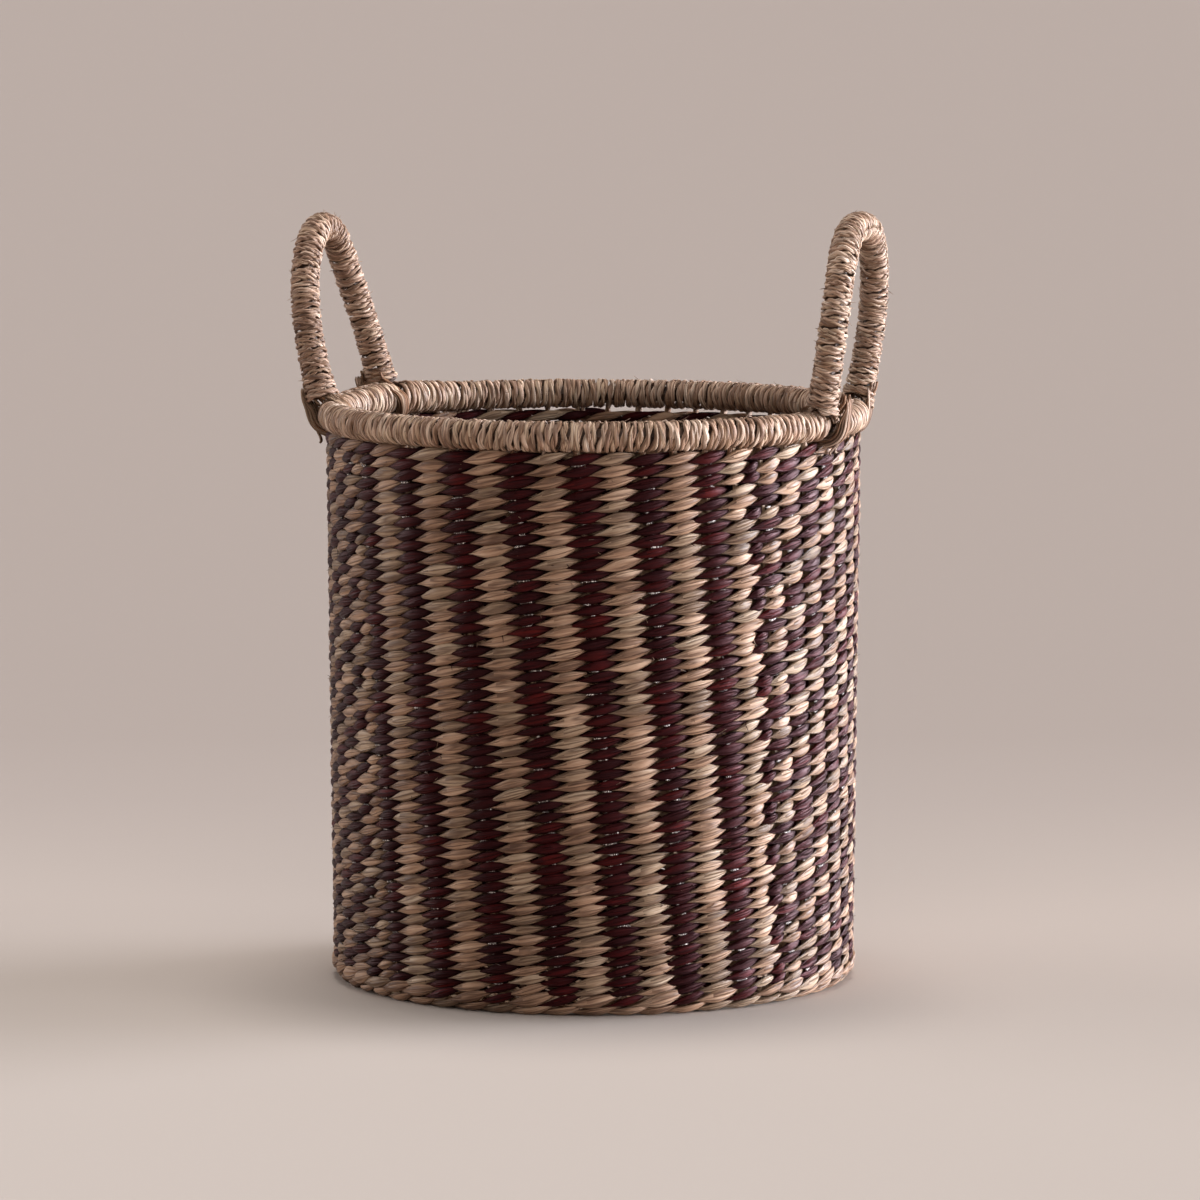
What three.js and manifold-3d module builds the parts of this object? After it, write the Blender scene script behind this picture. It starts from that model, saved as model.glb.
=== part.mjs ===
// Woven basket: crossed reed stakes, a twined wall, a wrapped rim and two swinging loop handles.
// Millimetres, +Z up. The origin is on the floor under the middle of the basket, and the front is -Y.
// Every stake is one long rod: up one side of the wall, across the base and up the opposite side.

import * as THREE from 'three';
import { mergeVertices } from 'three/addons/utils/BufferGeometryUtils.js';
import Module from 'manifold-3d';

const wasm = await Module();
wasm.setup();

// Clearances shared by all pieces
const FIT_GAP = 0.3;
const CUT_OVERRUN = 4;

// Basket body
const FOOT_MID_RADIUS = 165.5;
const WALL_FLARE = 3.5;
const RIM_HEIGHT = 367.5;
const WALL_THICKNESS = 8;
const WALL_RELIEF = 1;
const BASE_THICKNESS = 11;
const FOOT_ROUND = 12;

// Stakes: 26 rods in two crossed layers give 52 uprights
const STAKE_RODS = 26;
const STAKE_RADIUS = 1.7;
const STAKE_SIDES = 4;
const CROSS_SPACING = 5.2;
const CROSS_REACH = 36;
const LAYER_SKIN = 0.3;
const LEAN_PITCHES = 1.5;
const BEND_STEPS = 2;
const RODS_PER_LAYER = STAKE_RODS / 2;
const STAKE_PITCH = Math.PI / STAKE_RODS;
const WALL_LEAN = LEAN_PITCHES * STAKE_PITCH;
const CHANNEL_RADIUS = STAKE_RADIUS + FIT_GAP / Math.cos(Math.PI / STAKE_SIDES);

// Rim: a hoop wrapped all round, the wrap parted underneath where the stakes come in
const RIM_RADIUS = 10.2;
const RIM_RIB_DEPTH = 0.9;
const RIM_CORE_RADIUS = 5.5;
const RIM_CORE_SIDES = 6;
const RIM_RIBS = 78;
const RIM_SECTION_POINTS = 8;
const RIM_BORE_POINTS = 6;
const RIM_BORE_RINGS = 2 * STAKE_RODS;
const RIM_PART_WIDTH = 2 * (CHANNEL_RADIUS + FIT_GAP);

// Handles: a wrapped core bent to an arch, its feet lashed to the rim
// The curve ratio is the exponent of the arch: 2 is an ellipse, more is squarer
const HANDLE_RADIUS = 9.65;
const HANDLE_RIB_DEPTH = 0.8;
const HANDLE_CORE_RADIUS = 5;
const HANDLE_CORE_STEPS = 15;
const HANDLE_RIBS = 30;
const HANDLE_SECTION_POINTS = 8;
const HANDLE_PITCHES = 6;
const HANDLE_TURN_PITCHES = 0.5;
const LEG_START = 4;
const LEG_OUTSET = 5;
const LEFT_HANDLE_HEIGHT = 125;
const LEFT_CROWN_OFFSET = 13.9;
const LEFT_SHOULDER_SHARE = 0.713;
const LEFT_TILT_DEGREES = 19.5;
const LEFT_CURVE_RATIO = 2.35;
const RIGHT_HANDLE_HEIGHT = 125.5;
const RIGHT_CROWN_OFFSET = 8.1;
const RIGHT_SHOULDER_SHARE = 1.198;
const RIGHT_TILT_DEGREES = 9.2;
const RIGHT_CURVE_RATIO = 2.75;

// Lashings: a flat strap round the rim, with a collar that grips the handle's foot
const STRAP_WIDTH = 8;
const STRAP_THICKNESS = 2;
const COLLAR_LOW = 7;
const COLLAR_HIGH = 24;
const COLLAR_THICKNESS = 1.8;
const RIM_RUNNING_GAP = 0.6;
const SLOT_CLEARANCE = 0.5;
const ROUND_SIDES = 16;
const COLLAR_SIDES = 10;

// Derived sizes
const RIM_RING_RADIUS = FOOT_MID_RADIUS + WALL_FLARE;
const BEND_MIDDLE = FOOT_MID_RADIUS + WALL_THICKNESS / 2 - FOOT_ROUND;
const HANDLE_HALF_SPAN = HANDLE_PITCHES / 2 * STAKE_PITCH;
const HINGE_RADIUS = RIM_RING_RADIUS * Math.cos(HANDLE_HALF_SPAN);
const FOOT_HALF_CHORD = RIM_RING_RADIUS * Math.sin(HANDLE_HALF_SPAN);
const STRAP_INNER = rimReach(STRAP_WIDTH / 2) + RIM_RUNNING_GAP;
const STRAP_OUTER = STRAP_INNER + STRAP_THICKNESS;
const WALL_TOP = RIM_HEIGHT - STRAP_OUTER - SLOT_CLEARANCE;
const STAKE_TOP = RIM_HEIGHT - RIM_CORE_RADIUS * Math.cos(Math.PI / RIM_CORE_SIDES) - FIT_GAP;
const HANDLES = [
  {
    name: 'left',
    side: -1,
    tilt: LEFT_TILT_DEGREES,
    shoulder: LEFT_SHOULDER_SHARE * FOOT_HALF_CHORD,
    height: LEFT_HANDLE_HEIGHT,
    crownOffset: LEFT_CROWN_OFFSET,
    power: LEFT_CURVE_RATIO,
  },
  {
    name: 'right',
    side: 1,
    tilt: RIGHT_TILT_DEGREES,
    shoulder: RIGHT_SHOULDER_SHARE * FOOT_HALF_CHORD,
    height: RIGHT_HANDLE_HEIGHT,
    crownOffset: RIGHT_CROWN_OFFSET,
    power: RIGHT_CURVE_RATIO,
  },
];

// Finishes
const NATURAL_GRASS = { color: 0xb79b7f, roughness: 0.8 };
const TWO_TONE_WEAVE = { color: 0x8d6558, roughness: 0.7 };
const REED = { color: 0xcdb894, roughness: 0.7 };
const ROPE_CORE = { color: 0x9c8462, roughness: 0.8 };
const GRASS_WRAP = { color: 0xa58d76, roughness: 0.7 };
const DARK_STRAP = { color: 0x5f4332, roughness: 0.7 };

const basket = new THREE.Group();

function add(name, geometry, finish) {
  const material = new THREE.MeshStandardMaterial({ ...finish, metalness: 0 });
  const mesh = new THREE.Mesh(geometry, material);
  mesh.name = name;
  basket.add(mesh);
}

// Solids

function toSolid(geometry) {
  const bare = geometry.clone();
  bare.deleteAttribute('normal');
  bare.deleteAttribute('uv');
  const merged = mergeVertices(bare);
  return new wasm.Manifold(new wasm.Mesh({
    numProp: 3,
    vertProperties: merged.attributes.position.array,
    triVerts: new Uint32Array(merged.index.array),
  }));
}

function toGeometry(solid) {
  const mesh = solid.getMesh();
  const geometry = new THREE.BufferGeometry();
  geometry.setAttribute('position', new THREE.BufferAttribute(mesh.vertProperties, 3));
  geometry.setIndex(new THREE.BufferAttribute(mesh.triVerts, 1));
  geometry.computeVertexNormals();
  return geometry;
}

function cut(geometry, cutters) {
  return toGeometry(cutters.reduce((solid, cutter) => solid.subtract(cutter), toSolid(geometry)));
}

// A regular polygon as a section
function polygon(radius, sides) {
  const corners = [];
  for (let i = 0; i < sides; i += 1) {
    const turn = 2 * Math.PI * i / sides;
    corners.push(new THREE.Vector2(radius * Math.cos(turn), radius * Math.sin(turn)));
  }
  return new THREE.Shape(corners);
}

function sweep(shape, path, steps) {
  return new THREE.ExtrudeGeometry(shape, { steps, extrudePath: path, bevelEnabled: false });
}

// A path whose sections stand on its own points, however far apart these are
class PointPath extends THREE.Curve {
  constructor(points) {
    super();
    this.points = points;
  }

  getUtoTmapping(u) {
    return u;
  }

  getPoint(t, target = new THREE.Vector3()) {
    const place = Math.min(Math.max(t, 0), 1) * (this.points.length - 1);
    const index = Math.min(Math.floor(place), this.points.length - 2);
    return target.lerpVectors(this.points[index], this.points[index + 1], place - index);
  }
}

// A closed surface is put together from grids of points and strips between their edges
class Surface {
  constructor() {
    this.places = [];
    this.faces = [];
  }

  rail(points) {
    return points.map((point) => {
      this.places.push(point.x, point.y, point.z);
      return this.places.length / 3 - 1;
    });
  }

  // Joins two rails with triangles, however many points each of them has
  strip(first, second) {
    let i = 0;
    let j = 0;
    while (i < first.length - 1 || j < second.length - 1) {
      const nextFirst = (i + 1) / (first.length - 1);
      const nextSecond = (j + 1) / (second.length - 1);
      if (nextFirst <= nextSecond) {
        this.faces.push(first[i], first[i + 1], second[j]);
        i += 1;
      } else {
        this.faces.push(first[i], second[j + 1], second[j]);
        j += 1;
      }
    }
  }

  skin(rails) {
    for (let k = 0; k + 1 < rails.length; k += 1) this.strip(rails[k], rails[k + 1]);
  }

  geometry() {
    const geometry = new THREE.BufferGeometry();
    geometry.setAttribute('position', new THREE.Float32BufferAttribute(this.places, 3));
    geometry.setIndex(this.faces);
    geometry.computeVertexNormals();
    return geometry;
  }
}

const closed = (list) => [...list, list[0]];

// Places about the basket's axis: the turn is counted from +X towards the back

function around(radius, turn, height) {
  return new THREE.Vector3(radius * Math.cos(turn), radius * Math.sin(turn), height);
}

function climb(height) {
  return (height - FOOT_ROUND) / (RIM_HEIGHT - FOOT_ROUND);
}

function wallMiddle(height) {
  return FOOT_MID_RADIUS + (RIM_RING_RADIUS - FOOT_MID_RADIUS) * climb(height);
}

function lean(height) {
  return WALL_LEAN * (1 - climb(height));
}

// How far the rim reaches from a handle's hinge line, a distance along from where the two cross
function rimReach(along) {
  const sideways = (step) => {
    const chord = FOOT_HALF_CHORD + step;
    return Math.abs(Math.sqrt(RIM_RING_RADIUS ** 2 - chord ** 2) - HINGE_RADIUS);
  };
  return RIM_RADIUS / Math.cos(HANDLE_HALF_SPAN) + Math.max(sideways(along), sideways(-along));
}

// Stakes

function bendPoint(share, turn) {
  const angle = share * Math.PI / 2;
  const radius = BEND_MIDDLE + (FOOT_ROUND - WALL_THICKNESS / 2) * Math.sin(angle);
  const height = FOOT_ROUND - (FOOT_ROUND - BASE_THICKNESS / 2) * Math.cos(angle);
  return around(radius, turn + WALL_LEAN, height);
}

// One half of a rod, from the crossing outwards: along the base, round the foot and up the wall
function stakeHalf(offset, heading, layerHeight, mirror) {
  const turn = heading + (mirror > 0 ? 0 : Math.PI) + mirror * offset * STAKE_PITCH;
  const points = [];
  const flat = new THREE.Vector3(mirror * CROSS_REACH, offset * CROSS_SPACING, layerHeight);
  points.push(flat.applyAxisAngle(new THREE.Vector3(0, 0, 1), heading + WALL_LEAN));
  for (let step = 0; step <= BEND_STEPS; step += 1) points.push(bendPoint(step / BEND_STEPS, turn));
  points.push(around(wallMiddle(STAKE_TOP), turn + lean(STAKE_TOP), STAKE_TOP));
  return points;
}

function stakePath(layer, rod) {
  const offset = rod - (RODS_PER_LAYER - 1) / 2;
  const heading = layer * Math.PI / 2;
  const layerShift = CHANNEL_RADIUS + LAYER_SKIN / 2;
  const layerHeight = BASE_THICKNESS / 2 + (layer === 0 ? -layerShift : layerShift);
  const far = stakeHalf(offset, heading, layerHeight, -1);
  const near = stakeHalf(offset, heading, layerHeight, 1);
  return new PointPath([...far.reverse(), ...near]);
}

function sweepStake(path, radius) {
  return sweep(polygon(radius, STAKE_SIDES), path, path.points.length - 1);
}

// The channel runs on past both ends of its stake, so that it opens right through the wall's top
function channelPath(path) {
  const points = path.points;
  const last = points.length - 1;
  const beyond = (end, before) => end.clone().sub(before).setLength(CUT_OVERRUN).add(end);
  return new PointPath([
    beyond(points[0], points[1]),
    ...points.slice(1, last),
    beyond(points[last], points[last - 1]),
  ]);
}

const channels = [];
const LAYER_NAMES = ['cross_stake', 'long_stake'];
for (const [layer, label] of LAYER_NAMES.entries()) {
  for (let rod = 0; rod < RODS_PER_LAYER; rod += 1) {
    const path = stakePath(layer, rod);
    channels.push(toSolid(sweepStake(channelPath(path), CHANNEL_RADIUS)));
    add(`${label}_${String(rod + 1).padStart(2, '0')}`, sweepStake(path, STAKE_RADIUS), REED);
  }
}

// Base mat: the flat round start of the basket, with the two layers of stakes inside

function baseMat() {
  const edge = BEND_MIDDLE - FIT_GAP / 2;
  const profile = [
    new THREE.Vector2(0, 0),
    new THREE.Vector2(edge, 0),
    new THREE.Vector2(edge, BASE_THICKNESS),
    new THREE.Vector2(0, BASE_THICKNESS),
  ];
  return standing(new THREE.LatheGeometry(profile, 2 * STAKE_RODS));
}

// A lathe turns about Y, so its shape is stood up on Z
function standing(geometry) {
  return geometry.rotateX(Math.PI / 2);
}

add('base_mat', cut(baseMat(), channels), NATURAL_GRASS);

// Foot border: undyed rounds that turn the base up into the wall

function footBorder() {
  const outside = FOOT_MID_RADIUS + WALL_THICKNESS / 2;
  const inside = FOOT_MID_RADIUS - WALL_THICKNESS / 2;
  const seam = BEND_MIDDLE + FIT_GAP / 2;
  const top = FOOT_ROUND - FIT_GAP / 2;
  const diagonal = FOOT_ROUND * Math.SQRT1_2;
  const profile = [
    new THREE.Vector2(seam, 0),
    new THREE.Vector2(BEND_MIDDLE + diagonal, FOOT_ROUND - diagonal),
    new THREE.Vector2(outside, top),
    new THREE.Vector2(inside, top),
    new THREE.Vector2(seam, BASE_THICKNESS),
    new THREE.Vector2(seam, 0),
  ];
  return standing(new THREE.LatheGeometry(profile, 2 * STAKE_RODS));
}

add('foot_border', cut(footBorder(), channels), NATURAL_GRASS);

// Wall: the twined weave as one shell, swelling over each stake and leaning with them

function wallRail(height, outer) {
  const points = [];
  const half = WALL_THICKNESS / 2;
  for (let column = 0; column < 4 * STAKE_RODS; column += 1) {
    const relief = column % 2 === 0 ? WALL_RELIEF : 0;
    const radius = wallMiddle(height) + (outer ? half + relief : -half - relief);
    points.push(around(radius, column * STAKE_PITCH / 2 + lean(height), height));
  }
  return points;
}

function wallShell() {
  const surface = new Surface();
  const heights = [FOOT_ROUND + FIT_GAP / 2, WALL_TOP];
  const outer = heights.map((height) => closed(surface.rail(wallRail(height, true))));
  const inner = heights.map((height) => closed(surface.rail(wallRail(height, false)))).reverse();
  surface.skin(closed([...outer, ...inner]));
  return surface.geometry();
}

add('wall_weave', cut(wallShell(), channels), TWO_TONE_WEAVE);

// Rim

function rimSection(turn, radius, partAngle, count) {
  const points = [];
  for (let i = 0; i < count; i += 1) {
    const angle = -Math.PI / 2 - partAngle - (2 * Math.PI - 2 * partAngle) * i / (count - 1);
    const reach = RIM_RING_RADIUS + radius * Math.cos(angle);
    points.push(around(reach, turn, RIM_HEIGHT + radius * Math.sin(angle)));
  }
  return points;
}

function rimWrap() {
  const surface = new Surface();
  const bore = RIM_CORE_RADIUS + FIT_GAP;
  const outer = [];
  for (let ring = 0; ring < 2 * RIM_RIBS; ring += 1) {
    const radius = RIM_RADIUS - (ring % 2) * RIM_RIB_DEPTH;
    const part = Math.asin(RIM_PART_WIDTH / 2 / radius);
    outer.push(surface.rail(rimSection(Math.PI * ring / RIM_RIBS, radius, part, RIM_SECTION_POINTS)));
  }
  const inner = [];
  const borePart = Math.asin(RIM_PART_WIDTH / 2 / bore);
  for (let ring = 0; ring < RIM_BORE_RINGS; ring += 1) {
    const turn = 2 * Math.PI * ring / RIM_BORE_RINGS;
    inner.push(surface.rail(rimSection(turn, bore, borePart, RIM_BORE_POINTS)));
  }
  const edge = (rings, last) => closed(rings.map((ring) => (last ? ring[ring.length - 1] : ring[0])));
  surface.skin(closed(outer));
  surface.skin(closed(inner.map((ring) => [...ring].reverse())));
  surface.strip(edge(outer, false), edge(inner, false));
  surface.strip(edge(inner, true), edge(outer, true));
  return surface.geometry();
}

function rimCore() {
  const ring = new THREE.TorusGeometry(RIM_RING_RADIUS, RIM_CORE_RADIUS, RIM_CORE_SIDES, 2 * STAKE_RODS);
  return ring.translate(0, 0, RIM_HEIGHT);
}

add('rim_core', rimCore(), ROPE_CORE);
add('rim_wrap', rimWrap(), GRASS_WRAP);

// Handles

// The middle line of a handle: up from one foot, round the crown and down to the other
class HandleArch extends THREE.Curve {
  constructor(handle) {
    super();
    this.handle = handle;
    const turn = HANDLE_TURN_PITCHES * STAKE_PITCH;
    const heading = handle.side > 0 ? turn : Math.PI - turn;
    this.outward = new THREE.Vector3(Math.cos(heading), Math.sin(heading), 0);
    this.along = new THREE.Vector3(-Math.sin(heading), Math.cos(heading), 0);
    this.hinge = this.outward.clone().multiplyScalar(HINGE_RADIUS).setZ(RIM_HEIGHT);
    this.sweepAngle = Math.acos((LEG_START / handle.height) ** (handle.power / 2));
  }

  getPoint(t, target = new THREE.Vector3()) {
    const { tilt, shoulder, height, crownOffset, power } = this.handle;
    const angle = (2 * t - 1) * this.sweepAngle;
    const rise = height * Math.cos(angle) ** (2 / power);
    const spread = Math.sign(angle) * shoulder * Math.abs(Math.sin(angle)) ** (2 / power);
    const riseShare = rise / height;
    const splay = riseShare + FOOT_HALF_CHORD / shoulder * (1 - riseShare);
    const slope = THREE.MathUtils.degToRad(tilt);
    const out = LEG_OUTSET + rise * Math.sin(slope) - crownOffset * riseShare ** 3;
    return target.copy(this.hinge)
      .addScaledVector(this.outward, out)
      .addScaledVector(this.along, spread * splay)
      .setZ(RIM_HEIGHT + rise * Math.cos(slope));
  }
}

function archSection(arch, share, radius, count) {
  const centre = arch.getPointAt(share);
  const tangent = arch.getTangentAt(share);
  const across = arch.outward.clone().addScaledVector(tangent, -tangent.dot(arch.outward)).normalize();
  const square = new THREE.Vector3().crossVectors(tangent, across);
  const points = [];
  for (let i = 0; i < count; i += 1) {
    const angle = 2 * Math.PI * i / count;
    points.push(centre.clone()
      .addScaledVector(across, radius * Math.cos(angle))
      .addScaledVector(square, radius * Math.sin(angle)));
  }
  return points;
}

// Rails along the arch: the bore and the core share their stations, so that they stay parallel
function archRails(surface, arch, steps, radiusAt) {
  const rails = [];
  for (let ring = 0; ring <= steps; ring += 1) {
    const points = archSection(arch, ring / steps, radiusAt(ring), HANDLE_SECTION_POINTS);
    rails.push(closed(surface.rail(points)));
  }
  return rails;
}

function archSleeve(arch) {
  const surface = new Surface();
  const ribbed = (ring) => HANDLE_RADIUS - (1 - ring % 2) * HANDLE_RIB_DEPTH;
  const bore = HANDLE_CORE_RADIUS + FIT_GAP / Math.cos(Math.PI / HANDLE_SECTION_POINTS);
  const outer = archRails(surface, arch, 2 * HANDLE_RIBS, ribbed);
  const inner = archRails(surface, arch, HANDLE_CORE_STEPS, () => bore);
  surface.skin(closed([...outer, ...inner.reverse()]));
  return surface.geometry();
}

function archCore(arch) {
  const surface = new Surface();
  const rails = archRails(surface, arch, HANDLE_CORE_STEPS, () => HANDLE_CORE_RADIUS);
  const start = surface.rail([arch.getPointAt(0)]);
  const end = surface.rail([arch.getPointAt(1)]);
  surface.skin([start, ...rails, end]);
  return surface.geometry();
}

// What a handle's foot has to clear while it swings: the slanting rim and the strap round it
function hingeCutter(arch, foot, radiusAt, halfWidth) {
  const profile = [new THREE.Vector2(0, -halfWidth)];
  for (const share of [-1, 0, 1]) {
    profile.push(new THREE.Vector2(radiusAt(Math.abs(share) * halfWidth), share * halfWidth));
  }
  profile.push(new THREE.Vector2(0, halfWidth));
  const cutter = new THREE.LatheGeometry(profile, ROUND_SIDES);
  cutter.applyQuaternion(new THREE.Quaternion().setFromUnitVectors(new THREE.Vector3(0, 1, 0), arch.along));
  const place = arch.hinge.clone().addScaledVector(arch.along, foot * FOOT_HALF_CHORD);
  return toSolid(cutter.translate(place.x, place.y, place.z));
}

function rimCutter(arch, foot) {
  const halfWidth = HANDLE_RADIUS + COLLAR_THICKNESS + CUT_OVERRUN;
  return hingeCutter(arch, foot, (along) => rimReach(along) + RIM_RUNNING_GAP, halfWidth);
}

function strapCutter(arch, foot) {
  return hingeCutter(arch, foot, () => STRAP_OUTER + FIT_GAP, STRAP_WIDTH / 2 + FIT_GAP);
}

// The core of a handle ends above the strap, over its whole width
function coreCutter(arch, foot) {
  return hingeCutter(arch, foot, () => STRAP_OUTER + FIT_GAP, HANDLE_RADIUS + CUT_OVERRUN);
}

// The share of the arch at which its middle line is a given height above the hinge line
function shareAtRise(arch, rise) {
  const { height, power, tilt } = arch.handle;
  const plain = rise / Math.cos(THREE.MathUtils.degToRad(tilt));
  const angle = Math.acos((plain / height) ** (power / 2));
  return (1 - angle / arch.sweepAngle) / 2;
}

function lashing(arch, foot) {
  const hoop = hingeCutter(arch, foot, () => STRAP_OUTER, STRAP_WIDTH / 2);
  const low = shareAtRise(arch, COLLAR_LOW);
  const high = shareAtRise(arch, COLLAR_HIGH);
  const ends = foot < 0 ? [low, high] : [1 - low, 1 - high];
  const leg = new PointPath(ends.map((share) => arch.getPoint(share)));
  const collarBore = (HANDLE_RADIUS + FIT_GAP) / Math.cos(Math.PI / COLLAR_SIDES);
  const band = polygon(collarBore + COLLAR_THICKNESS, COLLAR_SIDES);
  band.holes.push(new THREE.Path(polygon(collarBore, COLLAR_SIDES).getPoints()));
  const collar = toSolid(sweep(band, leg, 1));
  const passage = hingeCutter(arch, foot, () => STRAP_INNER, STRAP_WIDTH + CUT_OVERRUN);
  return toGeometry(collar.add(hoop).subtract(passage).subtract(rimCutter(arch, foot)));
}

for (const handle of HANDLES) {
  const arch = new HandleArch(handle);
  const feet = [-1, 1].flatMap((foot) => [rimCutter(arch, foot), strapCutter(arch, foot)]);
  const coreEnds = [-1, 1].map((foot) => coreCutter(arch, foot));
  add(`${handle.name}_handle_core`, cut(archCore(arch), coreEnds), ROPE_CORE);
  add(`${handle.name}_handle_wrap`, cut(archSleeve(arch), feet), GRASS_WRAP);
  for (const [label, foot] of [['front', -handle.side], ['back', handle.side]]) {
    add(`${handle.name}_${label}_lashing`, lashing(arch, foot), DARK_STRAP);
  }
}

export default basket;
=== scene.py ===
# %% [markdown]
# # A tall woven basket with two loop handles
# The basket is twined from flat grass. Two weavers run round upright reed stakes together, one left natural
# and one dyed dark red, and they cross between every two stakes. The rim and the handles are wrapped in
# twine. The solid model holds the sizes and the hinges. Here each part gets its real surface, strand by
# strand.

# %% Load the solid model
import math

import bmesh
import bpy
import numpy as np
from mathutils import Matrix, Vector


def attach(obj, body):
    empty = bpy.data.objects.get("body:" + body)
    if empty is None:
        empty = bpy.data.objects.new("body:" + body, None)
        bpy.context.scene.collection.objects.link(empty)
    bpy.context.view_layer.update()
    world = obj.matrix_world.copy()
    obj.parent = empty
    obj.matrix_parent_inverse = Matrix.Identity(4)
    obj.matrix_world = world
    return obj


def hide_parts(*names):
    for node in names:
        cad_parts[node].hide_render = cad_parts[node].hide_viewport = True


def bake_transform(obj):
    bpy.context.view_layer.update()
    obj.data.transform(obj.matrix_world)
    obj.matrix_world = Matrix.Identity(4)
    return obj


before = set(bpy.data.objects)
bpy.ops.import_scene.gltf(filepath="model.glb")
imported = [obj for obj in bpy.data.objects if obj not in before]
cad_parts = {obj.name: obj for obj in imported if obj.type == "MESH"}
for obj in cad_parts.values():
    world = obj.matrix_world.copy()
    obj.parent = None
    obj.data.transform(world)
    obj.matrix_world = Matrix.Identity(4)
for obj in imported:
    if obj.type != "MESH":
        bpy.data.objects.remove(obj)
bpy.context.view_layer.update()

scene = bpy.context.scene

# %% [markdown]
# ## Sizes
# All sizes are in metres and repeat those of the solid model. Most are easier to read in millimetres, so
# they are written that way and multiplied once.

# %% Sizes of the basket
MM = 0.001
STAKES = 52
PITCH = 2 * math.pi / STAKES
RIM_RING = 169 * MM
RIM_HEIGHT = 367.5 * MM
FOOT_RING = 165.5 * MM
FOOT_ROUND = 12 * MM
BEND_RING = 157.5 * MM
BASE_MIDDLE = 5.5 * MM
WALL_LEAN = 1.5 * PITCH
CROSS_REACH = 36 * MM
CROSS_SPACING = 5.2 * MM
chance = np.random.RandomState(11)


def climb(height):
    """How far up the wall a height is, from 0 at the foot to 1 at the rim."""
    return (height - FOOT_ROUND) / (RIM_HEIGHT - FOOT_ROUND)


def wall_ring(height):
    return FOOT_RING + (RIM_RING - FOOT_RING) * climb(height)


def lean(height):
    """How far a stake has turned round the basket at a height, because it leans."""
    return WALL_LEAN * (1 - climb(height))


def round_the_basket(radius, turn, level):
    """Places at a distance from the middle, a turn round it and a level."""
    return np.stack(np.broadcast_arrays(radius * np.cos(turn), radius * np.sin(turn), level), -1)


print("the stakes stand", round(2 * wall_ring(RIM_HEIGHT) / MM), "mm apart across the rim")

# %% [markdown]
# ## The courses
# A course is one round of weaving, and fifty of them fill the wall. They lie closer and closer towards the
# foot, where the weaver pulled them down hardest. They also climb a little towards the front, and the last
# ones rise at the left back, where they meet the rim. A rule gives each course its height, and its stitches
# are as tall as the course has room for.

# %% Heights of the courses
COURSES = 50
FIRST_COURSE = 16.2 * MM
LAST_COURSE = 352.0 * MM
CLOSING = 0.08
FULL_PITCH = 7.2 * MM
SIDE_RISE = 0.4725 * MM
FRONT_RISE = 0.8775 * MM
LEFT_BACK_TURN = math.radians(148)
LEFT_BACK_RISE = 1.9 * MM
LEFT_BACK_SHARPNESS, LEFT_BACK_POWER = 5, 4
share = np.linspace(0, 1, COURSES)
course_heights = LAST_COURSE - (LAST_COURSE - FIRST_COURSE) * (share + CLOSING * share * (1 - share))
course_size = -np.gradient(course_heights) / FULL_PITCH


def course_level(height, turn):
    """The height of a course at a turn round the basket."""
    near = math.exp(LEFT_BACK_SHARPNESS * (math.cos(turn - LEFT_BACK_TURN) - 1))
    left_back = LEFT_BACK_RISE * near * climb(height) ** LEFT_BACK_POWER
    return height + (SIDE_RISE - FRONT_RISE * math.sin(turn)) * climb(height) + left_back


spacing = [round(course_size[course] * FULL_PITCH / MM, 2) for course in (0, -1)]
print("courses every", spacing[0], "mm at the rim and", spacing[1], "mm at the foot")

# %% [markdown]
# ## The camera
# The photograph is taken from a long way off with a long lens, a little above the rim. The basket is turned
# 17.4 degrees, so that the striped front faces slightly to the left.

# %% Camera
CAMERA_TURN = math.radians(17.4)
CAMERA_TILT = math.radians(6.465)
CAMERA_DISTANCE = 4.224
CAMERA_HEIGHT = 0.7244
CAMERA_SIDE = 0.00425
LENS = 195.54
FILM_WIDTH = 36
FARTHEST_SEEN = 200
bpy.ops.object.select_all(action='DESELECT')
side = Vector((math.cos(CAMERA_TURN), math.sin(CAMERA_TURN), 0))
place = Vector((CAMERA_DISTANCE * math.sin(CAMERA_TURN), -CAMERA_DISTANCE * math.cos(CAMERA_TURN),
                CAMERA_HEIGHT))
bpy.ops.object.camera_add(location=place + side * CAMERA_SIDE,
                          rotation=(math.pi / 2 - CAMERA_TILT, 0, CAMERA_TURN))
camera = bpy.context.object
camera.name = "camera"
camera.data.lens = LENS
camera.data.sensor_width = FILM_WIDTH
camera.data.clip_end = FARTHEST_SEEN
scene.camera = camera
print("the camera stands", round(camera.location.length, 2), "m from the basket")

# %% [markdown]
# ## Shader maths as plain Python
# A node tree is easier to read as sums. A small class wraps a socket, so that `fibres * 0.5 + shade` adds
# the Math nodes. Every other kind of node comes from one method.

# %% A socket that can be added and multiplied
class Link:
    def __init__(self, sheet, socket):
        self.sheet = sheet
        self.socket = socket

    def __add__(self, other):
        return self.sheet.math('ADD', self, other)

    def __sub__(self, other):
        return self.sheet.math('SUBTRACT', self, other)

    def __mul__(self, other):
        return self.sheet.math('MULTIPLY', self, other)

    __radd__ = __add__


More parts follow.
